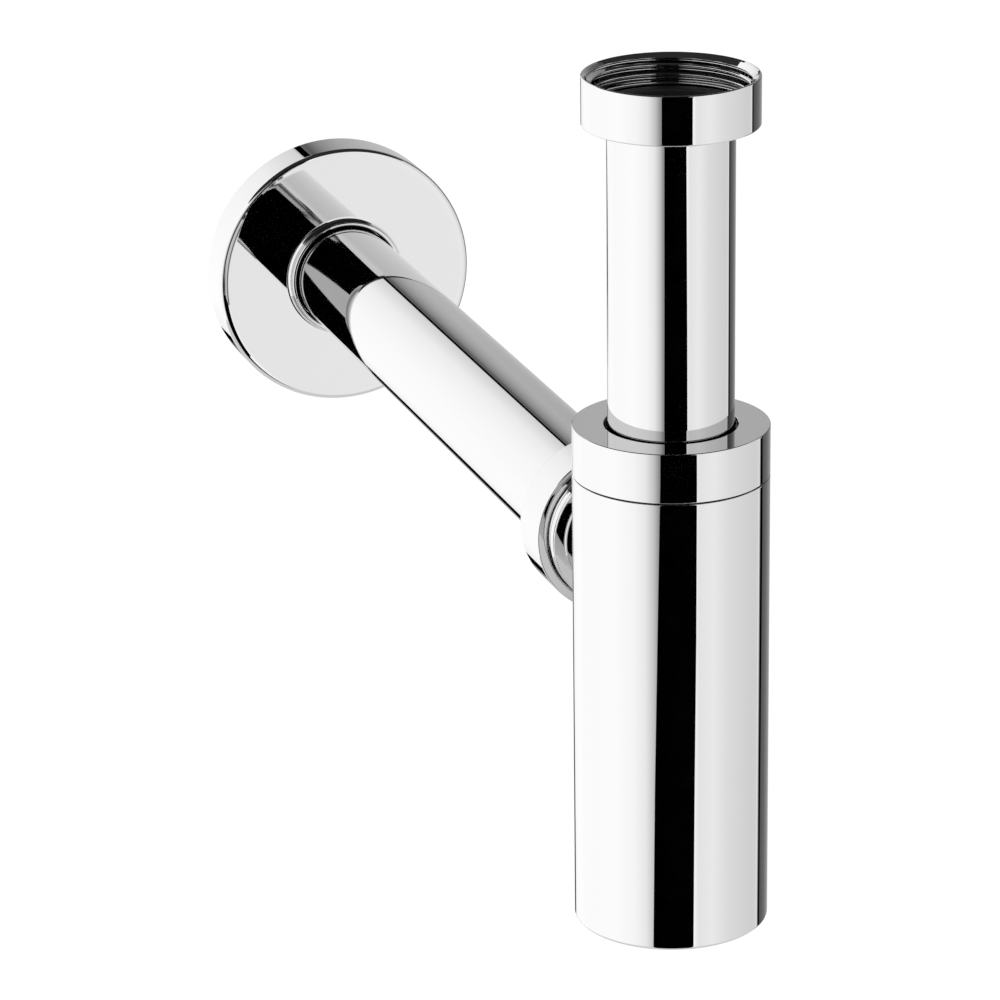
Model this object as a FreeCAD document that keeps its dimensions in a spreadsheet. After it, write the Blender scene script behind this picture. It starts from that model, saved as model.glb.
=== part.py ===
import FreeCAD, Part
import Sketcher
import os
import re

# A chrome bottle trap for a wash basin.
# Frame: +Z up, origin at the middle of the inlet nut's mouth, bottle axis on Z, outlet tube towards the wall
# along +Y. All sizes are in millimetres.

SIZES = {
    # tubes and threads
    "tube_radius": 16.0,  # 32 mm drain tube
    "tube_wall": 1.0,
    "play": 0.3,  # gap between pieces that move past each other
    "seal_play": 0.05,  # a rubber seal round a sliding tube
    "thread_crest": 19.476,  # inner radius of a G 1 1/4 female thread
    "edge_break": 0.4,
    # inlet nut, flange and gasket
    "nut_radius": 22.25,
    "inlet_nut_height": 12.6,
    "inlet_web": 1.8,
    "inlet_thread_length": 7.2,
    "relief_radius": 20.2,
    "flange_radius": 18.9,
    "flange_thickness": 1.0,
    "gasket_thickness": 1.6,
    "gasket_hole": 15.2,
    "dip_level": 200.0,  # lower end of the inlet tube, below the origin
    # collar nut and neck of the bottle
    "bottle_radius": 25.0,
    "bottle_wall": 1.2,
    "collar_top": 90.0,
    "collar_height": 12.85,
    "collar_web": 3.0,
    "collar_hole": 16.9,
    "collar_thread": 22.6,
    "washer_thickness": 1.0,
    "neck_height": 7.75,
    "neck_depth": 6.0,
    "neck_bore": 16.8,
    "seat_radius": 20.0,
    "seat_depth": 5.0,
    # bottle
    "seam_level": 103.15,
    "bottom_level": 224.0,
    "bottom_edge": 0.8,
    "outlet_level": 132.3,
    # outlet spigot, measured from the bottle's axis
    "spigot_bore": 14.8,
    "spigot_start": 15.0,
    "spigot_shoulder": 35.2,
    "spigot_thread": 19.2,
    "socket_floor": 40.5,
    "socket_seat": 45.0,
    "spigot_end": 48.0,
    "outlet_seat_radius": 18.6,
    # outlet nut, measured from the bottle's axis
    "outlet_nut_front": 39.4,
    "outlet_nut_back": 53.5,
    "outlet_web": 2.8,
    # outlet tube and rosette, measured from the bottle's axis
    "outlet_tube_start": 41.0,
    "outlet_tube_end": 341.0,
    "wall_plane": 300.0,
    "mark_start": 301.0,
    "mark_width": 2.0,
    "mark_depth": 0.3,
    "rosette_radius": 40.0,
    "rosette_depth": 14.0,
    "rosette_sheet": 1.0,
    "rosette_edge": 1.0,
    "lip_height": 3.0,
    "lip_radius": 17.5,
    "lip_fillet": 1.2,
    "lip_hole": 16.5,
    "grip_width": 2.5,
    "grip_radius": 18.6,
    # base and plug in the underside
    "base_recess": 0.4,
    "base_height": 10.0,
    "plug_seat_radius": 20.4,
    "plug_seat_depth": 5.2,
    "plug_bore": 17.2,
    "plug_head": 2.8,
    "plug_length": 9.0,
    "plug_floor": 4.4,
    "plug_cup": 13.0,
    "slot_width": 3.0,
    "slot_depth": 1.6,
    "slot_length": 26.0,
    "ring_section": 0.9,
    "ring_radius": 18.6,
}

doc = FreeCAD.newDocument("bottle_trap")
sheet = doc.addObject("Spreadsheet::Sheet", "Sizes")


def fill_sheet():
    """One row for each driving dimension: its name, and its value with that name as alias."""
    for row, (name, value) in enumerate(SIZES.items(), start=1):
        sheet.set("A%d" % row, name)
        sheet.set("B%d" % row, str(value))
        sheet.setAlias("B%d" % row, name)
    doc.recompute()


def sized(formula):
    """The formula with each dimension's name pointing at the sheet."""
    return re.sub(r"[a-z][a-z_]+", lambda word: "Sizes." + word.group(0), formula)


def bind(thing, **formulas):
    """Tie properties of an object to formulas on the sheet."""
    for name, formula in formulas.items():
        thing.setExpression(name, sized(formula))


def place_upright(thing, level):
    """Stand a piece on the bottle's axis with its lower end at this height."""
    thing.setExpression("Placement.Base.z", sized(level))


def place_on_outlet(thing, distance):
    """Lay a piece on the outlet's axis, its own Z along +Y, starting this far from the bottle's axis."""
    thing.Placement.Rotation = FreeCAD.Rotation(FreeCAD.Vector(1, 0, 0), -90)
    thing.setExpression("Placement.Base.y", sized(distance))
    thing.setExpression("Placement.Base.z", sized("-outlet_level"))


def origin_plane(body, role):
    for feature in body.Origin.OriginFeatures:
        if feature.Role == role:
            return feature
    raise RuntimeError("no plane " + role)


def new_sketch(body, name, role):
    sketch = body.newObject("Sketcher::SketchObject", name)
    sketch.AttachmentSupport = (origin_plane(body, role), [""])
    sketch.MapMode = "FlatFace"
    return sketch


def draw_polygon(sketch, corners):
    """A closed outline whose corners are pairs of formulas, measured from the sketch's origin."""
    count = len(corners)
    points = [FreeCAD.Vector(20 + i, 1 + i % 2, 0) for i in range(count)]
    for i in range(count):
        sketch.addGeometry(Part.LineSegment(points[i], points[(i + 1) % count]), False)
    for i in range(count):
        sketch.addConstraint(Sketcher.Constraint("Coincident", i, 2, (i + 1) % count, 1))
    for i, (across, up) in enumerate(corners):
        for kind, formula in (("DistanceX", across), ("DistanceY", up)):
            index = sketch.addConstraint(Sketcher.Constraint(kind, -1, 1, i, 1, 1.0 + i))
            sketch.setExpression("Constraints[%d]" % index, sized(formula))


def turned(label, outline):
    """A turned piece: the outline of (radius, height) corners revolved about the piece's own Z."""
    body = doc.addObject("PartDesign::Body", label)
    sketch = new_sketch(body, label + "_outline", "XZ_Plane")
    draw_polygon(sketch, outline)
    turn = body.newObject("PartDesign::Revolution", label + "_turn")
    turn.Profile = sketch
    turn.ReferenceAxis = (sketch, ["V_Axis"])
    turn.Angle = 360.0
    sketch.Visibility = False
    return body


def ring(label, inner, outer, height):
    """A plain flat ring."""
    return turned(label, [(inner, "0"), (outer, "0"), (outer, height), (inner, height)])


def cut(label, base, tool):
    result = doc.addObject("Part::Cut", label)
    result.Base = base
    result.Tool = tool
    return result


def make_inlet_nut():
    hole = "tube_radius + play"
    top = "inlet_nut_height"
    thread_foot = "inlet_nut_height - edge_break - inlet_thread_length"
    nut = turned(
        "inlet_nut",
        [
            (hole, "0"),
            ("nut_radius - edge_break", "0"),
            ("nut_radius", "edge_break"),
            ("nut_radius", top + " - edge_break"),
            ("nut_radius - edge_break", top),
            ("thread_crest + edge_break", top),
            ("thread_crest", top + " - edge_break"),
            ("thread_crest", thread_foot),
            ("relief_radius", thread_foot),
            ("relief_radius", "inlet_web"),
            (hole, "inlet_web"),
        ],
    )
    place_upright(nut, "-inlet_nut_height")
    return nut


def make_inlet_tube():
    """The tube and its flange, which rests on the inlet nut's web."""
    bore = "tube_radius - tube_wall"
    top = "dip_level - inlet_nut_height + inlet_web + play + flange_thickness"
    under_flange = "dip_level - inlet_nut_height + inlet_web + play"
    tube = turned(
        "inlet_tube",
        [
            (bore, "0"),
            ("tube_radius", "0"),
            ("tube_radius", under_flange),
            ("flange_radius", under_flange),
            ("flange_radius", top),
            (bore, top),
        ],
    )
    place_upright(tube, "-dip_level")
    return tube


def make_inlet_gasket():
    gasket = ring("inlet_gasket", "gasket_hole", "flange_radius", "gasket_thickness")
    place_upright(gasket, "inlet_web + play + flange_thickness - inlet_nut_height")
    return gasket


def make_collar_nut():
    under_web = "collar_height - collar_web"
    nut = turned(
        "collar_nut",
        [
            ("collar_thread", "0"),
            ("bottle_radius", "0"),
            ("bottle_radius", "collar_height - edge_break"),
            ("bottle_radius - edge_break", "collar_height"),
            ("collar_hole", "collar_height"),
            ("collar_hole", under_web),
            ("collar_thread", under_web),
        ],
    )
    place_upright(nut, "-collar_top - collar_height")
    return nut


def make_collar_slip_washer():
    washer = ring("collar_slip_washer", "tube_radius + play", "collar_thread - play", "washer_thickness")
    place_upright(washer, "-collar_top - collar_web - play - washer_thickness")
    return washer


def make_inlet_cone_seal():
    """A rubber cone with a flat head, which stands proud of the neck and is pressed down by the washer."""
    hole = "tube_radius + seal_play"
    low_radius = "neck_bore - play / 2"
    high_radius = "seat_radius - play / 2"
    proud = "seam_level - neck_height - collar_top - collar_web - 2 * play - washer_thickness"
    seal = turned(
        "inlet_cone_seal",
        [
            (hole, "0"),
            (low_radius, "0"),
            (high_radius, "seat_depth"),
            (high_radius, "seat_depth + " + proud),
            (hole, "seat_depth + " + proud),
        ],
    )
    place_upright(seal, "neck_height - seam_level - seat_depth")
    return seal


def make_bottle_neck():
    """The ring in the bottle's mouth: a spigot inside the shell, the collar's thread above it and a cone seat."""
    top = "neck_depth + neck_height"
    neck = turned(
        "bottle_neck",
        [
            ("neck_bore", "0"),
            ("bottle_radius - bottle_wall", "0"),
            ("bottle_radius - bottle_wall", "neck_depth"),
            ("collar_thread - play", "neck_depth"),
            ("collar_thread - play", top + " - edge_break"),
            ("collar_thread - play - edge_break", top),
            ("seat_radius", top),
            ("neck_bore", top + " - seat_depth"),
        ],
    )
    place_upright(neck, "-seam_level - neck_depth")
    return neck


def make_bottle_shell():
    """The bottle's tube, with a side hole that takes the outlet spigot."""
    inner = "bottle_radius - bottle_wall"
    length = "bottom_level - seam_level"
    tube = turned(
        "bottle_tube",
        [
            (inner, "0"),
            ("bottle_radius - bottom_edge", "0"),
            ("bottle_radius", "bottom_edge"),
            ("bottle_radius", length),
            (inner, length),
        ],
    )
    place_upright(tube, "-bottom_level")
    drill = doc.addObject("Part::Cylinder", "side_hole")
    bind(drill, Radius="tube_radius", Height="2 * bottle_radius")
    place_on_outlet(drill, "0")
    return cut("bottle_shell", tube, drill)


def make_outlet_spigot():
    """A neck as wide as the tube, a shoulder and the outlet thread, with the inner end trimmed to the shell."""
    blank = turned(
        "spigot_blank",
        [
            ("spigot_bore", "0"),
            ("tube_radius", "0"),
            ("tube_radius", "spigot_shoulder - spigot_start"),
            ("spigot_thread", "spigot_shoulder - spigot_start"),
            ("spigot_thread", "spigot_end - spigot_start"),
            ("outlet_seat_radius", "spigot_end - spigot_start"),
            ("tube_radius + play", "socket_seat - spigot_start"),
            ("tube_radius + play", "socket_floor - spigot_start"),
            ("spigot_bore", "socket_floor - spigot_start"),
        ],
    )
    place_on_outlet(blank, "spigot_start")
    room = doc.addObject("Part::Cylinder", "bottle_room")
    bind(room, Radius="bottle_radius - bottle_wall", Height="2 * outlet_level")
    place_upright(room, "-2 * outlet_level")
    return cut("outlet_spigot", blank, room)


def make_outlet_nut():
    length = "outlet_nut_back - outlet_nut_front"
    hole = "tube_radius + play"
    nut = turned(
        "outlet_nut",
        [
            ("thread_crest", "0"),
            ("nut_radius - edge_break", "0"),
            ("nut_radius", "edge_break"),
            ("nut_radius", length + " - edge_break"),
            ("nut_radius - edge_break", length),
            (hole, length),
            (hole, length + " - outlet_web"),
            ("thread_crest", length + " - outlet_web"),
        ],
    )
    place_on_outlet(nut, "outlet_nut_front")
    return nut


def make_outlet_slip_washer():
    washer = ring("outlet_slip_washer", "tube_radius + play", "thread_crest - play", "washer_thickness")
    place_on_outlet(washer, "outlet_nut_back - outlet_web - play - washer_thickness")
    return washer


def make_outlet_cone_seal():
    hole = "tube_radius + seal_play"
    head = "outlet_nut_back - outlet_web - 2 * play - washer_thickness - socket_seat"
    seal = turned(
        "outlet_cone_seal",
        [
            (hole, "0"),
            ("tube_radius + play", "0"),
            ("outlet_seat_radius", "spigot_end - socket_seat"),
            ("outlet_seat_radius", head),
            (hole, head),
        ],
    )
    place_on_outlet(seal, "socket_seat")
    return seal


def make_outlet_tube():
    """The tube to the wall, with a rolled groove that marks how far it goes into the wall socket."""
    bore = "tube_radius - tube_wall"
    length = "outlet_tube_end - outlet_tube_start"
    mark = "mark_start - outlet_tube_start"
    tube = turned(
        "outlet_tube",
        [
            (bore, "0"),
            ("tube_radius", "0"),
            ("tube_radius", mark),
            ("tube_radius - mark_depth", mark),
            ("tube_radius - mark_depth", mark + " + mark_width"),
            ("tube_radius", mark + " + mark_width"),
            ("tube_radius", length + " - edge_break"),
            ("tube_radius - edge_break", length),
            (bore, length),
        ],
    )
    place_on_outlet(tube, "outlet_tube_start")
    return tube


def make_wall_rosette():
    """A sheet-metal cover: a raised lip round the tube, a flat face and a rim that meets the wall."""
    back = "lip_height + rosette_depth"
    face = "lip_height + rosette_sheet"
    rosette = turned(
        "wall_rosette",
        [
            ("lip_hole", "0"),
            ("lip_radius", "0"),
            ("lip_radius", "lip_height - lip_fillet"),
            ("lip_radius + lip_fillet", "lip_height"),
            ("rosette_radius - rosette_edge", "lip_height"),
            ("rosette_radius", "lip_height + rosette_edge"),
            ("rosette_radius", back),
            ("rosette_radius - rosette_sheet", back),
            ("rosette_radius - rosette_sheet", face),
            ("lip_hole", face),
        ],
    )
    place_on_outlet(rosette, "wall_plane - rosette_depth - lip_height")
    return rosette


def make_rosette_grip_ring():
    grip = ring("rosette_grip_ring", "tube_radius + seal_play", "grip_radius", "grip_width")
    place_on_outlet(grip, "wall_plane - rosette_depth + rosette_sheet")
    return grip


def make_bottle_base():
    """A ring in the shell's lower end, bored for the plug, with a counterbore for its head and O-ring."""
    base = turned(
        "bottle_base",
        [
            ("plug_seat_radius", "0"),
            ("bottle_radius - bottle_wall", "0"),
            ("bottle_radius - bottle_wall", "base_height"),
            ("plug_bore", "base_height"),
            ("plug_bore", "plug_seat_depth"),
            ("plug_seat_radius", "plug_seat_depth"),
        ],
    )
    place_upright(base, "base_recess - bottom_level")
    return base


def make_cleanout_plug():
    """A hollow screw plug with a coin slot across its head."""
    shank = "plug_bore - play"
    plug = turned(
        "cleanout_plug",
        [
            ("0", "0"),
            ("plug_seat_radius - play - edge_break", "0"),
            ("plug_seat_radius - play", "edge_break"),
            ("plug_seat_radius - play", "plug_head"),
            (shank, "plug_head"),
            (shank, "plug_length"),
            ("plug_cup", "plug_length"),
            ("plug_cup", "plug_floor"),
            ("0", "plug_floor"),
        ],
    )
    place_upright(plug, "base_recess + play - bottom_level")
    doc.recompute()
    solid_volume = plug.Shape.Volume
    sketch = new_sketch(plug, "slot_outline", "XY_Plane")
    half_length = "slot_length / 2"
    half_width = "slot_width / 2"
    draw_polygon(
        sketch,
        [
            ("-" + half_length, "-" + half_width),
            (half_length, "-" + half_width),
            (half_length, half_width),
            ("-" + half_length, half_width),
        ],
    )
    slot = plug.newObject("PartDesign::Pocket", "coin_slot")
    slot.Profile = sketch
    slot.Reversed = True
    bind(slot, Length="slot_depth")
    doc.recompute()
    removed = solid_volume - plug.Shape.Volume
    wanted = SIZES["slot_length"] * SIZES["slot_width"] * SIZES["slot_depth"]
    if abs(removed - wanted) > 0.01:
        raise RuntimeError("the coin slot removed %.3f mm3, not %.3f" % (removed, wanted))
    return plug


def make_cleanout_seal():
    """The O-ring between the plug's head and the counterbore's floor."""
    seal = doc.addObject("Part::Torus", "cleanout_seal")
    bind(seal, Radius1="ring_radius", Radius2="ring_section")
    place_upright(seal, "base_recess + plug_head + play + (plug_seat_depth - plug_head - play) / 2 - bottom_level")
    return seal


def check(pieces):
    """Stop before anything is written if an object failed or a piece isn't one valid solid."""
    for thing in doc.Objects:
        if "Invalid" in thing.State or "Error" in thing.State:
            raise RuntimeError("%s: %s" % (thing.Name, thing.State))
    for piece in pieces:
        shape = piece.Shape
        if shape.isNull() or not shape.isValid() or len(shape.Solids) != 1:
            raise RuntimeError("%s isn't one valid solid" % piece.Label)


def write(pieces):
    os.makedirs("parts", exist_ok=True)
    for piece in pieces:
        piece.Shape.exportStep("parts/%s.step" % piece.Label)
        box = piece.Shape.BoundBox
        print(
            "%-20s x %7.2f %7.2f  y %7.2f %7.2f  z %8.2f %8.2f  volume %9.1f"
            % (piece.Label, box.XMin, box.XMax, box.YMin, box.YMax, box.ZMin, box.ZMax, piece.Shape.Volume)
        )


fill_sheet()
pieces = [
    make_inlet_nut(),
    make_inlet_gasket(),
    make_inlet_tube(),
    make_collar_nut(),
    make_collar_slip_washer(),
    make_inlet_cone_seal(),
    make_bottle_neck(),
    make_bottle_shell(),
    make_outlet_spigot(),
    make_outlet_nut(),
    make_outlet_slip_washer(),
    make_outlet_cone_seal(),
    make_outlet_tube(),
    make_wall_rosette(),
    make_rosette_grip_ring(),
    make_bottle_base(),
    make_cleanout_plug(),
    make_cleanout_seal(),
]
doc.recompute()
check(pieces)
write(pieces)
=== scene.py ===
# %% [markdown]
# # A chrome bottle trap
# A bottle trap hangs under a wash basin. Waste water runs down a straight tube into a closed bottle, rises
# round the tube and leaves through the side, so some water always stays behind and keeps smells out.
# Nearly every piece is turned on a lathe or is a drawn tube, plated with bright chrome. So this lesson is
# about two things: turned surfaces whose edges are as small and as round as the real ones, and the studio
# that a mirror-like metal shows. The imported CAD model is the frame: it gives every size and every place.

import bpy
import numpy as np
from mathutils import Matrix, Vector


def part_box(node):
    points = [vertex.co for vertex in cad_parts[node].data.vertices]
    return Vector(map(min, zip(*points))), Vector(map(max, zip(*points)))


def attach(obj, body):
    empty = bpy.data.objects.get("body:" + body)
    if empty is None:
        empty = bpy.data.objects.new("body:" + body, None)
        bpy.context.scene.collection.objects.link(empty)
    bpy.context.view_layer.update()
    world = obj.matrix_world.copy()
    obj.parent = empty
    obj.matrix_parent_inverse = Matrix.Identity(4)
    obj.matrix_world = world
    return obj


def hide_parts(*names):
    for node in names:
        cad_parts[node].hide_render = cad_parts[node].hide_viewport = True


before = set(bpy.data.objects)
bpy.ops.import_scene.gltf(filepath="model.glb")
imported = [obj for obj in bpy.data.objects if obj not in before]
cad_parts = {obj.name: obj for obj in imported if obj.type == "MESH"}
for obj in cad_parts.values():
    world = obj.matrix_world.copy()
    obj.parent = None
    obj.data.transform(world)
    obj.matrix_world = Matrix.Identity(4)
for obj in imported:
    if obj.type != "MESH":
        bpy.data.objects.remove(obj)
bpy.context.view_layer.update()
MM = 0.001

# %% [markdown]
# ## Reading sizes from the frame
# A turned piece needs its two ends and its outer radius, and its CAD box holds all three. The pieces of the
# inlet side stand on the bottle's axis, which is the frame's Z. The pieces of the outlet side lie on a
# second axis that runs along +Y, at the height of the outlet tube's middle. Everything below is in
# millimetres along and across these two axes, and turns into metres only when a mesh is made.

# %% Ends and radius of a CAD node
tube_low, tube_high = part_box("outlet_tube")
OUTLET_HEIGHT = (tube_low.z + tube_high.z) / 2 / MM
TUBE = (tube_high.x - tube_low.x) / 2 / MM
WALL = 1.0
PLAY = 0.3


def extent(node, along):
    """The two ends of a node along an axis, 1 for Y or 2 for Z, and its radius, in millimetres."""
    low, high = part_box(node)
    return low[along] / MM, high[along] / MM, (high.x - low.x) / 2 / MM


print("outlet axis at", round(OUTLET_HEIGHT, 2), "mm, tube radius", round(TUBE, 2), "mm")

# %% [markdown]
# ## Turned outlines
# A lathe hand thinks in an outline: straight cuts joined by small rounds. Chrome shows every fault in the
# shading of a corner, so each corner here is a true arc and each point of the outline carries the direction
# that its surface faces. Blender could round the corners with a Bevel modifier, but then the flat faces
# beside them bend the reflection a little. Exact normals keep flats flat and rounds round.

# %% Outline with rounded corners
ARC_STEPS = 6


def outline(corners, steps=ARC_STEPS):
    """Radii, heights and facing directions along a closed outline of (radius, height, rounding) corners.

    The corners run anticlockwise, so the metal is on the left. At each corner the path turns along an arc
    that is tangent to both sides: the arc starts rounding * tan(half the turn) before the corner, and its
    point at heading a is centre + rounding * (sin a, -cos a), mirrored where the corner is hollow.
    """
    corners = np.array(corners, float)
    place, rounding = corners[:, :2], corners[:, 2]
    ahead = np.roll(place, -1, axis=0) - place
    heading_out = np.arctan2(ahead[:, 1], ahead[:, 0])
    heading_in = np.roll(heading_out, 1)
    turn = (heading_out - heading_in + np.pi) % (2 * np.pi) - np.pi
    side = np.sign(turn)
    start = place - (rounding * np.tan(np.abs(turn) / 2))[:, None] * unit(heading_in)
    centre = start + (side * rounding)[:, None] * left_of(heading_in)
    share = np.linspace(0, 1, steps + 1)
    heading = heading_in[:, None] + turn[:, None] * share
    points = centre[:, None] - (side * rounding)[:, None, None] * left_of(heading)
    facing = -left_of(heading)
    points, facing = points.reshape(-1, 2), facing.reshape(-1, 2)
    return points[:, 0], points[:, 1], facing


def unit(heading):
    return np.stack([np.cos(heading), np.sin(heading)], axis=-1)


def left_of(heading):
    return np.stack([-np.sin(heading), np.cos(heading)], axis=-1)


square = [(1, 0, 0.1), (3, 0, 0.1), (3, 2, 0.1), (1, 2, 0.1)]
print("a square with round corners has", len(outline(square)[0]), "points")

# %% [markdown]
# ## From outline to surface
# Carrying the outline once round its axis gives a grid of points: one row for each point of the outline, one
# column for each direction. The same function serves both axes. A row may have a different radius or height
# in each column, which is how a screw thread or a saddle cut gets onto a turned piece.

# %% Surface from rows and columns
COLUMNS = 256


def around():
    return np.arange(COLUMNS) / COLUMNS * 2 * np.pi


def on_bottle(across, along, angle):
    """Point at a radius, height and direction about the bottle's axis."""
    return np.stack([across * np.cos(angle), across * np.sin(angle), along], axis=-1)


def on_outlet(across, along, angle):
    """Point at a radius, distance from the bottle and direction about the outlet's axis."""
    return np.stack([across * np.cos(angle), along, OUTLET_HEIGHT - across * np.sin(angle)], axis=-1)


def make_piece(name, points, normals, faces, material, node, body):
    """A mesh of points in millimetres, shaded by its own normals, that stands for one CAD node."""
    mesh = bpy.data.meshes.new(name)
    mesh.from_pydata((points * MM).tolist(), [], faces.tolist())
    mesh.polygons.foreach_set("use_smooth", np.ones(len(mesh.polygons), bool))
    mesh.materials.append(material)
    mesh.normals_split_custom_set_from_vertices(normals.tolist())
    piece = bpy.data.objects.new(name, mesh)
    bpy.context.scene.collection.objects.link(piece)
    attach(piece, body)
    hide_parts(node)
    print(name, "-", len(mesh.polygons), "faces")
    return piece


def grid_faces(rows, columns):
    """Quads of a grid whose columns close on themselves and whose last row joins its first."""
    row, column = np.meshgrid(np.arange(rows), np.arange(columns), indexing="ij")
    next_row, next_column = (row + 1) % rows, (column + 1) % columns
    quads = [
        row * columns + column,
        row * columns + next_column,
        next_row * columns + next_column,
        next_row * columns + column,
    ]
    return np.stack(quads, axis=-1).reshape(-1, 4)


def measured_normals(points):
    """Normals of a grid of points: the cross product of its directions along columns and rows."""
    across = np.roll(points, -1, axis=1) - np.roll(points, 1, axis=1)
    along = np.roll(points, -1, axis=0) - np.roll(points, 1, axis=0)
    normals = np.cross(across, along)
    return normals / np.linalg.norm(normals, axis=-1, keepdims=True)


def turned(name, path, place, material, node, body, shape=None):
    """A turned piece: the outline goes round the axis that place stands for.

    shape may change the grids of radii and heights and says which rows it changed. Those rows get normals
    measured on the grid, and all others keep the outline's exact ones.
    """
    radius, height, facing = path
    angle = around()[None, :]
    across = np.repeat(radius[:, None], COLUMNS, axis=1)
    along = np.repeat(height[:, None], COLUMNS, axis=1)
    changed = np.zeros(len(radius), bool)
    if shape:
        across, along, changed = shape(across, along, angle)
    angle = np.broadcast_to(angle, across.shape)
    points = place(across, along, angle)
    exact = place(facing[:, :1], np.broadcast_to(facing[:, 1:], across.shape), angle)
    exact = exact - place(0, 0 * angle, angle)
    normals = np.where(changed[:, None, None], measured_normals(points), exact)
    faces = grid_faces(*across.shape)
    points, normals = points.reshape(-1, 3), normals.reshape(-1, 3)
    return make_piece(name, points, normals, faces, material, node, body)


# %% [markdown]
# ## Colours and nodes
# Every material starts from a colour that a person can read, an sRGB hex value, and one function turns it
# into the linear value that the renderer works in. A second small function adds a node, sets its options
# and inputs, and makes its links, so each material below reads as a short recipe.

# %% Colour and node helpers
def linear(hex_colour):
    """sRGB hex to linear RGBA: v / 12.92 below 0.04045 and ((v + 0.055) / 1.055) ** 2.4 above."""
    value = np.array([int(hex_colour[i : i + 2], 16) for i in (1, 3, 5)]) / 255
    low, high = value / 12.92, ((value + 0.055) / 1.055) ** 2.4
    return [*np.where(value <= 0.04045, low, high).tolist(), 1.0]


def add_node(tree, kind, settings=None, inputs=None, links=None):
    """One node: settings are its options, inputs its socket values, links what feeds its sockets."""
    node = tree.nodes.new(kind)
    for name, value in (settings or {}).items():
        setattr(node, name, value)
    for name, value in (inputs or {}).items():
        node.inputs[name].default_value = value
    for name, source in (links or {}).items():
        tree.links.new(source, node.inputs[name])
    return node


def new_material(name):
    material = bpy.data.materials.new(name)
    material.use_nodes = True
    material.node_tree.nodes.clear()
    return material, material.node_tree


def grain(tree, size_mm, detail=2.0):
    """Fine noise whose spots are about this many millimetres across, with a value between 0 and 1."""
    where = add_node(tree, "ShaderNodeTexCoord")
    return add_node(
        tree,
        "ShaderNodeTexNoise",
        inputs={"Scale": 1 / (size_mm * MM), "Detail": detail},
        links={"Vector": where.outputs["Object"]},
    )


def between(tree, source, low, high):
    """A value from low to high as the source goes from 0.3 to 0.7, the range that noise keeps to."""
    ramp = add_node(
        tree,
        "ShaderNodeMapRange",
        inputs={"From Min": 0.3, "From Max": 0.7, "To Min": low, "To Max": high},
        links={"Value": source},
    )
    return ramp.outputs["Result"]


def finish_material(tree, shader):
    add_node(tree, "ShaderNodeOutputMaterial", links={"Surface": shader.outputs["BSDF"]})


# %% [markdown]
# ## Bright chrome
# The tubes, nuts, bottle and rosette are brass, polished and plated with nickel and a very thin layer of
# chromium. To the eye that is an almost colourless mirror. Buffing leaves it with patches that are
# very slightly less sharp than others, a few millimetres across, which keeps it from looking like a
# computed mirror. So its roughness is low and wanders a little. Chromium returns only a little over half of
# the light, which is why a reflection of a reflection, as in the nuts' mouths, is so much darker.

# %% Chrome plate
def bright_chrome(name, roughness_low, roughness_high):
    material, tree = new_material(name)
    patches = grain(tree, 6.0)
    roughness = between(tree, patches.outputs["Fac"], roughness_low, roughness_high)
    shader = add_node(
        tree,
        "ShaderNodeBsdfPrincipled",
        inputs={"Base Color": linear("#c4c4c4"), "Metallic": 1.0},
        links={"Roughness": roughness},
    )
    finish_material(tree, shader)
    return material


chrome = bright_chrome("bright_chrome_plate", 0.012, 0.03)
print("chrome:", chrome.name)

# %% [markdown]
# ## Brass, rubber and nylon
# Inside the trap nothing is polished. The neck and the base are turned brass, with the fine rings that a
# lathe tool leaves. The seals are black moulded rubber: dark, soft-looking, with a fine grain. The slip
# washers are black nylon, a little shinier than rubber, so that the nuts turn on them without dragging.

# %% Hidden materials
def turned_brass():
    material, tree = new_material("turned_brass")
    tone = grain(tree, 2.0)
    colour = add_node(
        tree,
        "ShaderNodeMix",
        settings={"data_type": "RGBA"},
        inputs={"A": linear("#b08d4a"), "B": linear("#c9a65f")},
        links={"Factor": tone.outputs["Fac"]},
    )
    ring_pitch_mm = 0.25
    where = add_node(tree, "ShaderNodeTexCoord")
    rings = add_node(
        tree,
        "ShaderNodeTexWave",
        settings={"bands_direction": "Z"},
        inputs={"Scale": 2 * np.pi / (20 * ring_pitch_mm * MM)},
        links={"Vector": where.outputs["Object"]},
    )
    bump = add_node(
        tree,
        "ShaderNodeBump",
        inputs={"Strength": 0.25, "Distance": 0.02 * MM},
        links={"Height": rings.outputs["Fac"]},
    )
    shader = add_node(
        tree,
        "ShaderNodeBsdfPrincipled",
        inputs={"Metallic": 1.0, "Roughness": 0.28},
        links={"Base Color": colour.outputs["Result"], "Normal": bump.outputs["Normal"]},
    )
    finish_material(tree, shader)
    return material


def moulded(name, dark, light, grain_mm, roughness):
    """Rubber or plastic from a mould: two close tones and a fine grain that catches the light."""
    material, tree = new_material(name)
    spots = grain(tree, grain_mm, detail=3.0)
    colour = add_node(
        tree,
        "ShaderNodeMix",
        settings={"data_type": "RGBA"},
        inputs={"A": linear(dark), "B": linear(light)},
        links={"Factor": spots.outputs["Fac"]},
    )
    bump = add_node(
        tree,
        "ShaderNodeBump",
        inputs={"Strength": 0.3, "Distance": 0.05 * MM},
        links={"Height": spots.outputs["Fac"]},
    )
    shader = add_node(
        tree,
        "ShaderNodeBsdfPrincipled",
        inputs={"Roughness": roughness, "IOR": 1.5},
        links={"Base Color": colour.outputs["Result"], "Normal": bump.outputs["Normal"]},
    )
    finish_material(tree, shader)
    return material


brass = turned_brass()
rubber = moulded("moulded_black_rubber", "#0c0c0c", "#1a1a1a", 0.4, 0.55)
nylon = moulded("black_nylon", "#101010", "#1c1c1d", 0.8, 0.35)
print("hidden materials:", brass.name, rubber.name, nylon.name)

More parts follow.
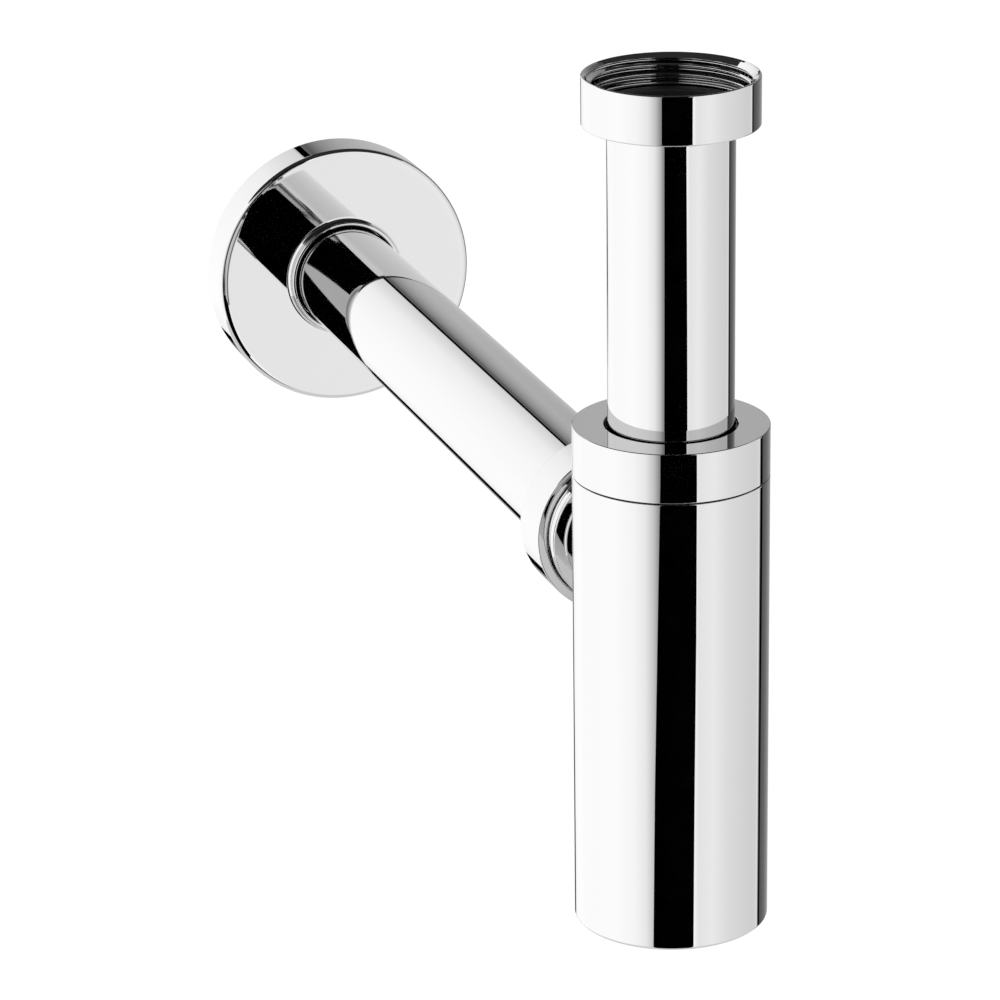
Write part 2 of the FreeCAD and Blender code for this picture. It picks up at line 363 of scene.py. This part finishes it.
# %% [markdown]
# ## The pipe thread
# Both union nuts have a G 1 1/4 thread, eleven turns to the inch with flanks at 55 degrees and rounded
# crests. A bump texture would give lines but no silhouette, and these lines are seen at a steep angle in
# the mouth of the top nut. So the thread is real: the radius follows a rounded triangle that climbs one
# pitch for each turn. In the top nut's mouth a 45 degree lead-in cuts the first crests away.

# %% Thread shape
PITCH = 25.4 / 11
THREAD_DEPTH = 1.479
FLANK_STEEPNESS = 1.5
CORNER_SHARE = 0.06


def tooth(phase):
    """0 at a crest, 1 at a root: a triangle wave cut flat, rounded by a mean of shifted copies."""
    shifts = np.linspace(-CORNER_SHARE, CORNER_SHARE, 7)
    triangle = 1 - np.abs(2 * ((np.asarray(phase)[..., None] + shifts) % 1) - 1)
    return np.clip(0.5 + (triangle - 0.5) * FLANK_STEEPNESS, 0, 1).mean(axis=-1)


def fade(value, start, end):
    """0 before start and 1 after end, smooth between. The two may be in either order."""
    share = np.clip((value - start) / (end - start), 0, 1)
    return share * share * (3 - 2 * share)


ROWS_PER_TURN = 32


def thread_rows(radius, bottom, top, pitch=PITCH):
    """A straight run of outline points, closely spaced enough to carry a thread, with their facing."""
    count = int(np.ceil(abs(top - bottom) / pitch * ROWS_PER_TURN)) + 1
    height = np.linspace(bottom, top, count)
    direction = 1.0 if top > bottom else -1.0
    facing = np.tile([direction, 0.0], (count, 1))
    return np.full(count, radius), height, facing


def male_groove(across, along, angle, crest, low, high, depth, pitch=PITCH):
    """Groove of a male thread where the radius is the crest: depth * tooth, faded out at both ends."""
    on_crest = np.abs(across - crest) < 1e-6
    whole = fade(along, low, low + 0.4) * (1 - fade(along, high - 0.9, high - 0.1))
    groove = depth * tooth(along / pitch - angle / (2 * np.pi)) * whole
    return np.where(on_crest, groove, 0), on_crest.all(axis=1)


def spliced(path, corner, rows):
    """The outline with extra rows put in behind one of its corners, counted from 0."""
    end = (corner + 1) * (ARC_STEPS + 1)
    return [np.concatenate([a[:end], b, a[end:]]) for a, b in zip(path, rows)]


print("thread pitch", round(PITCH, 3), "mm")

# %% [markdown]
# ## Inlet nut
# The round union nut at the top screws onto the basin's waste. Its outside is a plain polished band with a
# small round at each edge. Inside are the thread, a relief below it where the cutting tool ran out, and a
# web with a hole for the tube. It could be a cylinder with a boolean hole, but one turned outline gives the
# same solid with every edge rounded.

# %% Make the inlet nut
nut_bottom, nut_top, NUT = extent("inlet_nut", 2)
GASKET_TOP = extent("inlet_gasket", 2)[1]
CREST = 19.476
ROOT = CREST + THREAD_DEPTH
TUBE_HOLE = TUBE + PLAY
NUT_EDGE = 0.45
LEAD_IN = 21.5
RUN_OUT = 1.0
inlet_web_top = extent("inlet_tube", 2)[1] - WALL - PLAY


def female_thread(mouth, outward, lead_in, start):
    """Shape for a nut. The radius is the crest plus the groove, and never less than the lead-in cone.

    The cone narrows at 45 degrees from a radius of lead_in + 0.15 in the mouth. outward is +1 where the
    mouth faces along the axis and -1 where it faces against it. start is the share of a turn where the
    thread begins.
    """

    def shape(across, along, angle):
        depth_in = (mouth - along) * outward
        cut = np.abs(across - CREST) < 1e-6
        depth_of_run = depth_in[cut.all(axis=1)].max()
        groove = THREAD_DEPTH * tooth(along / PITCH - angle / (2 * np.pi) + start)
        groove = groove * (1 - fade(depth_in, depth_of_run - RUN_OUT, depth_of_run))
        shaped = np.where(cut, np.maximum(CREST + groove, lead_in + 0.15 - depth_in), across)
        return shaped, along, cut.all(axis=1)

    return shape


def with_thread(corners, after):
    """The outline of a nut, with thread rows between the corner at this index and the next one."""
    rows = thread_rows(CREST, corners[after][1], corners[after + 1][1])
    return spliced(outline(corners), after, rows)


THREAD_START = 0.45
inlet_nut_path = with_thread(
    [
        (TUBE_HOLE, nut_bottom, 0.2),
        (NUT, nut_bottom, NUT_EDGE),
        (NUT, nut_top, NUT_EDGE),
        (LEAD_IN + 0.3, nut_top, 0.1),
        (LEAD_IN - 0.15, nut_top - 0.3, 0.01),
        (CREST, GASKET_TOP + 0.3, 0.01),
        (ROOT, GASKET_TOP - 0.7, 0.2),
        (ROOT, inlet_web_top, 0.3),
        (TUBE_HOLE, inlet_web_top, 0.2),
    ],
    after=4,
)
turned(
    "inlet_nut_polished",
    inlet_nut_path,
    on_bottle,
    chrome,
    "inlet_nut",
    "inlet_union",
    female_thread(nut_top, 1, LEAD_IN, THREAD_START),
)

# %% [markdown]
# ## Inlet tube and its gasket
# The tube is drawn brass, 32 mm across, with a flange at the top that the nut pulls up against the basin's
# waste, and a flat rubber gasket on the flange. It goes down through the collar and deep into the bottle,
# so its lower end always stands in water. The cut ends are deburred, which is the smallest round here.

# %% Make the inlet tube and gasket
TUBE_BORE = TUBE - WALL
dip_end, flange_top, FLANGE = extent("inlet_tube", 2)
turned(
    "inlet_tube_polished",
    outline(
        [
            (TUBE_BORE, dip_end, 0.2),
            (TUBE, dip_end, 0.2),
            (TUBE, flange_top - WALL, 0.3),
            (FLANGE, flange_top - WALL, 0.25),
            (FLANGE, flange_top, 0.25),
            (TUBE_BORE, flange_top, 0.5),
        ]
    ),
    on_bottle,
    chrome,
    "inlet_tube",
    "dip_tube",
)


def plain_ring(node, body, inner, place, along, material, edge):
    """A flat ring with rounded edges that stands for a washer or a gasket."""
    low, high, outer = extent(node, along)
    corners = [(inner, low, edge), (outer, low, edge), (outer, high, edge), (inner, high, edge)]
    return turned(node + "_moulded", outline(corners), place, material, node, body)


GASKET_HOLE = 15.2
plain_ring("inlet_gasket", "dip_tube", GASKET_HOLE, on_bottle, 2, rubber, 0.3)

# %% [markdown]
# ## Collar nut
# The collar closes the bottle and squeezes the seal round the tube. From outside it is a disc as wide as the
# bottle with crisp edges and a flat top, and a dark ring-shaped gap where the tube goes in. Its inside is
# threaded for the bottle's neck.

# %% Make the collar nut
collar_bottom, collar_top, BOTTLE = extent("collar_nut", 2)
COLLAR_CREST = 22.6
COLLAR_HOLE = 16.9
COLLAR_WEB = 3.0
collar_web = collar_top - COLLAR_WEB
collar_path = outline(
    [
        (COLLAR_CREST, collar_bottom, 0.3),
        (BOTTLE, collar_bottom, 0.2),
        (BOTTLE, collar_top, 0.3),
        (COLLAR_HOLE, collar_top, 0.25),
        (COLLAR_HOLE, collar_web, 0.2),
        (COLLAR_CREST, collar_web, 0.2),
    ]
)
turned("collar_nut_polished", collar_path, on_bottle, chrome, "collar_nut", "collar")
plain_ring("collar_slip_washer", "collar_washer", TUBE_HOLE, on_bottle, 2, nylon, 0.15)

# %% Make the cone seal of the inlet
seal_bottom, seal_top, SEAL = extent("inlet_cone_seal", 2)
SEAL_HOLE = TUBE + 0.05
SEAT_DEPTH = 5.0
turned(
    "inlet_cone_seal_moulded",
    outline(
        [
            (SEAL_HOLE, seal_bottom, 0.1),
            (SEAL_HOLE + 0.6, seal_bottom, 0.1),
            (SEAL, seal_bottom + SEAT_DEPTH, 0.4),
            (SEAL, seal_top, 0.3),
            (SEAL_HOLE, seal_top, 0.3),
        ]
    ),
    on_bottle,
    rubber,
    "inlet_cone_seal",
    "swivel_seal",
)

# %% [markdown]
# ## Bottle
# The bottle is a tube as wide as the collar, with only a hairline between the two. Its lower edge is
# rounded by polishing. The neck and the base are turned brass rings brazed into its ends, and the neck has
# the fine thread that the collar turns on, which shows when the collar is loosened.

# %% Make the bottle's neck
neck_bottom, neck_top, NECK = extent("bottle_neck", 2)
shell_bottom, shell_top, _ = extent("bottle_shell", 2)
NECK_THREAD = COLLAR_CREST - PLAY
NECK_BORE, SEAT_MOUTH = 16.8, 20.0
COLLAR_PITCH, COLLAR_DEPTH = 1.5, 0.6


def neck_shape(across, along, angle):
    """The collar's thread on the neck, above the shell."""
    groove, threaded = male_groove(
        across, along, angle, NECK_THREAD, shell_top + 0.3, neck_top - 0.4, COLLAR_DEPTH, COLLAR_PITCH
    )
    return across - groove, along, threaded


neck_path = outline(
    [
        (NECK_BORE, neck_bottom, 0.2),
        (NECK, neck_bottom, 0.3),
        (NECK, shell_top, 0.1),
        (NECK_THREAD, shell_top, 0.2),
        (NECK_THREAD, neck_top, 0.4),
        (SEAT_MOUTH, neck_top, 0.2),
        (NECK_BORE, neck_top - SEAT_DEPTH, 0.2),
    ]
)
neck_rows = thread_rows(NECK_THREAD, shell_top + 0.25, neck_top - 0.45, COLLAR_PITCH)
turned(
    "bottle_neck_turned",
    spliced(neck_path, 3, neck_rows),
    on_bottle,
    brass,
    "bottle_neck",
    "bottle",
    neck_shape,
)

# %% Make the bottle's shell
SHELL_BORE = BOTTLE - 1.2
turned(
    "bottle_shell_polished",
    outline(
        [
            (SHELL_BORE, shell_bottom, 0.2),
            (BOTTLE, shell_bottom, 0.9),
            (BOTTLE, shell_top, 0.3),
            (SHELL_BORE, shell_top, 0.1),
        ],
        steps=8,
    ),
    on_bottle,
    chrome,
    "bottle_shell",
    "bottle",
)

# %% [markdown]
# ## Outlet spigot
# A short neck is brazed into the bottle's side. It is as wide as the tube, then steps out in a flat shoulder
# to the thread that the outlet nut pulls on. Its inner end is cut to the bottle's curve. A few turns of the
# thread stay outside the nut, so they are real too.

# %% Make the outlet spigot
_, spigot_end, SPIGOT_THREAD = extent("outlet_spigot", 1)
SHOULDER = 35.2
SOCKET_FLOOR, SOCKET_SEAT = 40.5, 45.0
SPIGOT_BORE, SPIGOT_INNER_END, SPIGOT_SEAT = 14.8, 16.0, 18.6
MALE_DEPTH = 0.75


def spigot_shape(across, along, angle):
    """Cuts the inner end to the bottle's bore and the thread into the outer band.

    At the inner end, along is at least sqrt(bore^2 - (across * cos(angle))^2). On the thread, the radius is
    the crest less the depth times the tooth, and the thread fades out at both ends.
    """
    saddle = np.sqrt(SHELL_BORE**2 - (across * np.cos(angle)) ** 2)
    inner = along[:, 0] < BOTTLE * 0.9
    groove, threaded = male_groove(
        across, along, angle, SPIGOT_THREAD, SHOULDER + 0.3, spigot_end - 0.3, MALE_DEPTH
    )
    return across - groove, np.maximum(along, saddle), inner | threaded


spigot_corners = [
    (SPIGOT_BORE, SPIGOT_INNER_END, 0.1),
    (TUBE, SPIGOT_INNER_END, 0.1),
    (TUBE, SHOULDER, 0.45),
    (SPIGOT_THREAD, SHOULDER, 0.3),
    (SPIGOT_THREAD, spigot_end, 0.2),
    (SPIGOT_SEAT, spigot_end, 0.1),
    (TUBE_HOLE, SOCKET_SEAT, 0.2),
    (TUBE_HOLE, SOCKET_FLOOR, 0.2),
    (SPIGOT_BORE, SOCKET_FLOOR, 0.2),
]
spigot_path = spliced(
    outline(spigot_corners), 3, thread_rows(SPIGOT_THREAD, SHOULDER + 0.3, spigot_end - 0.25)
)
turned(
    "outlet_spigot_polished",
    spigot_path,
    on_outlet,
    chrome,
    "outlet_spigot",
    "bottle",
    spigot_shape,
)

# %% [markdown]
# ## Outlet nut
# The same kind of nut as at the inlet, lying on its side with its mouth towards the bottle. Its mouth has a
# flat rim instead of a wide lead-in, so a bright ring and then a thin dark gap round the spigot's thread
# show beside the bottle.

# %% Make the outlet nut
outlet_mouth, outlet_back, OUTLET_NUT = extent("outlet_nut", 1)
outlet_web = outlet_back - 2.8
OUTLET_LEAD_IN = 19.7
RELIEF = 1.4
outlet_nut_path = with_thread(
    [
        (OUTLET_LEAD_IN + 0.3, outlet_mouth, 0.1),
        (OUTLET_NUT, outlet_mouth, NUT_EDGE),
        (OUTLET_NUT, outlet_back, NUT_EDGE),
        (TUBE_HOLE, outlet_back, 0.25),
        (TUBE_HOLE, outlet_web, 0.2),
        (ROOT, outlet_web, 0.3),
        (ROOT, outlet_web - RELIEF, 0.2),
        (CREST, outlet_web - RELIEF - RUN_OUT, 0.01),
        (OUTLET_LEAD_IN - 0.15, outlet_mouth + 0.3, 0.01),
    ],
    after=7,
)
turned(
    "outlet_nut_polished",
    outlet_nut_path,
    on_outlet,
    chrome,
    "outlet_nut",
    "outlet_union",
    female_thread(outlet_mouth, -1, OUTLET_LEAD_IN, 0.0),
)
plain_ring("outlet_slip_washer", "outlet_washer", TUBE_HOLE, on_outlet, 1, nylon, 0.15)

# %% Make the cone seal of the outlet
cone_start, cone_end, CONE = extent("outlet_cone_seal", 1)
turned(
    "outlet_cone_seal_moulded",
    outline(
        [
            (SEAL_HOLE, cone_start, 0.05),
            (TUBE_HOLE, cone_start, 0.05),
            (CONE, spigot_end, 0.3),
            (CONE, cone_end, 0.3),
            (SEAL_HOLE, cone_end, 0.3),
        ]
    ),
    on_outlet,
    rubber,
    "outlet_cone_seal",
    "bottle",
)

# %% [markdown]
# ## Outlet tube
# The same drawn tube as the inlet, without a flange. Behind the wall plane it has a shallow rolled groove
# that shows how deep it goes into the wall socket.

# %% Make the outlet tube
tube_start, tube_end, _ = extent("outlet_tube", 1)
wall_plane = extent("wall_rosette", 1)[1]
MARK_START, MARK_END, MARK_DEPTH = wall_plane + 1.0, wall_plane + 3.0, 0.3
turned(
    "outlet_tube_polished",
    outline(
        [
            (TUBE_BORE, tube_start, 0.2),
            (TUBE, tube_start, 0.2),
            (TUBE, MARK_START, 0.15),
            (TUBE - MARK_DEPTH, MARK_START, 0.15),
            (TUBE - MARK_DEPTH, MARK_END, 0.15),
            (TUBE, MARK_END, 0.15),
            (TUBE, tube_end, 0.35),
            (TUBE_BORE, tube_end, 0.2),
        ]
    ),
    on_outlet,
    chrome,
    "outlet_tube",
    "wall_tube",
)

# %% [markdown]
# ## Wall rosette
# The rosette hides the hole in the wall. It is pressed from sheet and plated: a flat face, a deep rim with a
# small round where the two meet, and a lip that stands up round the tube. A rubber ring behind the lip holds
# it where it is pushed.

# %% Make the wall rosette
lip_front, rosette_back, ROSETTE = extent("wall_rosette", 1)
face = lip_front + 3.0
LIP_HOLE, LIP = 16.5, 17.6
turned(
    "wall_rosette_polished",
    outline(
        [
            (LIP_HOLE, lip_front, 0.45),
            (LIP, lip_front, 0.45),
            (LIP, face, 1.2),
            (ROSETTE - 2.3, face, 11.0),
            (ROSETTE, face + 0.24, 1.5),
            (ROSETTE, rosette_back, 0.15),
            (ROSETTE - WALL, rosette_back, 0.15),
            (ROSETTE - WALL, face + WALL, 0.3),
            (LIP_HOLE, face + WALL, 0.3),
        ],
        steps=8,
    ),
    on_outlet,
    chrome,
    "wall_rosette",
    "rosette",
)
plain_ring("rosette_grip_ring", "rosette", SEAL_HOLE, on_outlet, 1, rubber, 0.5)

# %% [markdown]
# ## Hidden end of the bottle
# Under the bottle a turned brass ring takes a screw plug, so that the trap can be emptied and cleaned. The
# plug keeps its CAD shape, with a slot for a coin.

# %% Make the base and the O-ring
base_bottom, base_top, BASE = extent("bottle_base", 2)
PLUG_SEAT, PLUG_BORE, PLUG_SEAT_DEPTH = 20.4, 17.2, 5.2
turned(
    "bottle_base_turned",
    outline(
        [
            (PLUG_SEAT, base_bottom, 0.3),
            (BASE, base_bottom, 0.2),
            (BASE, base_top, 0.2),
            (PLUG_BORE, base_top, 0.3),
            (PLUG_BORE, base_bottom + PLUG_SEAT_DEPTH, 0.3),
            (PLUG_SEAT, base_bottom + PLUG_SEAT_DEPTH, 0.2),
        ]
    ),
    on_bottle,
    brass,
    "bottle_base",
    "bottle",
)
ring_bottom, ring_top, RING = extent("cleanout_seal", 2)
section = (ring_top - ring_bottom) / 2
turned(
    "cleanout_seal_moulded",
    outline(
        [
            (RING - 2 * section, ring_bottom, section * 0.999),
            (RING, ring_bottom, section * 0.999),
            (RING, ring_top, section * 0.999),
            (RING - 2 * section, ring_top, section * 0.999),
        ]
    ),
    on_bottle,
    rubber,
    "cleanout_seal",
    "plug_ring",
)
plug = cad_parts["cleanout_plug"]
plug.data.materials.clear()
plug.data.materials.append(chrome)
print("plug keeps its CAD shape,", len(plug.data.polygons), "faces")

# %% [markdown]
# ## Studio
# A mirror has no colour of its own to light: it shows the room. So the studio is a ring of paper round the
# trap, from the floor to above it, and the paper's tone changes with direction as cards on stands would
# make it: bright white on the left, a little darker on the right, a black card behind the camera, a narrow
# black card and a grey one behind the trap on the right. The ring doesn't show to the camera, and it
# doesn't shade the floor.

# %% Floor
FLOOR_LEVEL = -1.7
FLOOR_SIZE = 12.0


def studio_object(name, points, faces, material):
    mesh = bpy.data.meshes.new(name)
    mesh.from_pydata(points, [], faces)
    mesh.materials.append(material)
    item = bpy.data.objects.new(name, mesh)
    bpy.context.scene.collection.objects.link(item)
    return item


floor_paint, floor_tree = new_material("pale_studio_floor")
floor_shader = add_node(
    floor_tree,
    "ShaderNodeBsdfPrincipled",
    inputs={"Base Color": linear("#f4f4f4"), "Roughness": 0.9, "IOR": 1.3},
)
finish_material(floor_tree, floor_shader)


def flat_square(half_size, height):
    """Four corners of a level square round the trap, in metres."""
    signs = ((-1, -1), (1, -1), (1, 1), (-1, 1))
    return [(across * half_size, along * half_size, height) for across, along in signs]


studio_object("studio_floor", flat_square(FLOOR_SIZE, FLOOR_LEVEL), [(0, 1, 2, 3)], floor_paint)

# %% Ring of paper
RING_RADIUS = 2.2
RING_TOP = 1.6
# Polished chromium returns about 55 % of the light, so a card is brighter than the tone it is to give.
PLATE_REFLECTS = 0.55
# Directions in degrees from +X towards +Y, and the tone that the chrome shows there, 0 black to 255 white.
RING_TONES = [
    (0, 204),
    (10, 203),
    (13.5, 224),
    (14.8, 150),
    (16, 58),
    (20, 76),
    (26, 85),
    (34, 96),
    (44, 116),
    (58, 140),
    (70, 163),
    (75, 152),
    (80, 125),
    (84, 60),
    (87, 203),
    (92, 213),
    (100, 230),
    (114, 242),
    (140, 248),
    (179.9, 251),
    (180, 251),
    (206, 244),
    (220, 230),
    (230, 192),
    (237, 128),
    (242, 204),
    (277, 245),
    (282, 226),
    (300, 232),
    (320, 218),
]


def ring_material():
    """Emission whose tone follows the direction round Z: a radial gradient through one colour ramp."""
    material, tree = new_material("studio_paper")
    where = add_node(tree, "ShaderNodeTexCoord")
    radial = add_node(
        tree,
        "ShaderNodeTexGradient",
        settings={"gradient_type": "RADIAL"},
        links={"Vector": where.outputs["Object"]},
    )
    ramp = add_node(tree, "ShaderNodeValToRGB", links={"Fac": radial.outputs["Fac"]})
    stops = sorted((((direction + 180) % 360) / 360, tone) for direction, tone in RING_TONES)
    elements = ramp.color_ramp.elements
    while len(elements) < len(stops):
        elements.new(0.5)
    for element, (position, tone) in zip(elements, stops):
        element.position = position
        element.color = card_colour(tone)
    glow = add_node(tree, "ShaderNodeEmission", links={"Color": ramp.outputs["Color"]})
    add_node(tree, "ShaderNodeOutputMaterial", links={"Surface": glow.outputs["Emission"]})
    return material


def card_colour(tone):
    """The light that a card sends out so that the chrome, which returns a part of it, shows this tone."""
    value = linear("#" + "%02x" % int(tone) * 3)[0] / PLATE_REFLECTS
    return (value, value, value, 1)


def card_material(name, tone):
    material, tree = new_material(name)
    glow = add_node(tree, "ShaderNodeEmission", inputs={"Color": card_colour(tone)})
    add_node(tree, "ShaderNodeOutputMaterial", links={"Surface": glow.outputs["Emission"]})
    return material


def curved_card(name, radius, edges, material):
    """A card that bends round the trap at one radius.

    edges are rows of (height, left direction, right direction) in metres and degrees. Each row becomes
    points from its left to its right direction, and rows are joined in order.
    """
    height, left, right_edge = np.array(edges, float).T
    share = np.linspace(0, 1, 1 + int(np.ceil(np.max(right_edge - left) / 2)))
    angle = np.radians(left[:, None] + (right_edge - left)[:, None] * share)
    points = np.stack([radius * np.cos(angle), radius * np.sin(angle), height[:, None] + 0 * angle], axis=-1)
    row, column = np.meshgrid(np.arange(len(height) - 1), np.arange(len(share) - 1), indexing="ij")
    first = row * len(share) + column
    faces = np.stack([first, first + 1, first + 1 + len(share), first + len(share)], axis=-1)
    card = studio_object(name, points.reshape(-1, 3).tolist(), faces.reshape(-1, 4).tolist(), material)
    return only_in_reflections(card)


def only_in_reflections(item):
    item.visible_camera = False
    item.visible_diffuse = False
    item.visible_shadow = False
    return item


full_turn = [(FLOOR_LEVEL + 0.01, -1, 359), (RING_TOP, -1, 359)]
curved_card("studio_paper_ring", RING_RADIUS, full_turn, ring_material())
black_card = card_material("black_card", 0)
curved_card(
    "studio_black_card_front",
    0.77,
    [
        (-1.2, 229, 276),
        (-0.57, 229, 276),
        (-0.50, 230.8, 277),
        (-0.43, 234, 278.6),
        (-0.36, 237.3, 279),
        (-0.30, 237.8, 278.3),
        (-0.22, 237.8, 276.4),
        (0.20, 237.9, 277.5),
        (0.28, 238.2, 276.5),
        (0.36, 238.6, 273),
        (1.2, 240, 272),
    ],
    black_card,
)
curved_card(
    "studio_black_card_back",
    RING_RADIUS * 0.99,
    [(-1.6, 82, 91), (-1.15, 82, 90), (-0.85, 83.5, 87), (-0.4, 84.3, 86.3), (RING_TOP, 84.3, 86.3)],
    black_card,
)
curved_card(
    "studio_black_card_side",
    RING_RADIUS * 0.98,
    [
        (-1.6, 16.5, 20.5),
        (-1.25, 16.5, 20.5),
        (-1.05, 17, 21.5),
        (-0.9, 16.5, 22.5),
        (-0.7, 15.5, 20),
        (-0.5, 13.8, 16.8),
        (RING_TOP, 11, 14),
    ],
    black_card,
)
CEILING = 1.62
CEILING_SIZE = 6.0
dark_ceiling = flat_square(CEILING_SIZE, CEILING)[::-1]
only_in_reflections(
    studio_object("studio_dark_ceiling", dark_ceiling, [(0, 1, 2, 3)], card_material("dark_ceiling", 40))
)

# %% Light of the room
world = bpy.data.worlds.new("soft_white_room")
bpy.context.scene.world = world
world.use_nodes = True
world.node_tree.nodes["Background"].inputs["Color"].default_value = (1, 1, 1, 1)
world.node_tree.nodes["Background"].inputs["Strength"].default_value = 1.15
bpy.context.scene.view_settings.view_transform = "Standard"
print("studio ready, ring radius", RING_RADIUS, "m")

# %% [markdown]
# ## Camera
# A long lens from in front, to the left and above, as in a catalogue picture: about 1.15 m away, looking
# down by 20 degrees.

# %% Camera
CAMERA_PLACE = Vector((-0.39003, -1.03870, 0.28416))
YAW, PITCH_DOWN, ROLL = np.radians([-18.353, 19.573, -0.737])
LENS_MM = 167.93
SENSOR_MM = 36.0
look = Vector((-np.sin(YAW) * np.cos(PITCH_DOWN), np.cos(YAW) * np.cos(PITCH_DOWN), -np.sin(PITCH_DOWN)))
level_right = Vector((np.cos(YAW), np.sin(YAW), 0))
level_up = level_right.cross(look)
right = np.cos(ROLL) * level_right + np.sin(ROLL) * level_up
up = -np.sin(ROLL) * level_right + np.cos(ROLL) * level_up
camera_data = bpy.data.cameras.new("studio_camera")
camera_data.lens, camera_data.sensor_width = LENS_MM, SENSOR_MM
camera = bpy.data.objects.new("studio_camera", camera_data)
camera.matrix_world = Matrix.Translation(CAMERA_PLACE) @ Matrix([right, up, -look]).transposed().to_4x4()
bpy.context.scene.collection.objects.link(camera)
bpy.context.scene.camera = camera
print("camera", round((CAMERA_PLACE).length, 3), "m from the inlet")
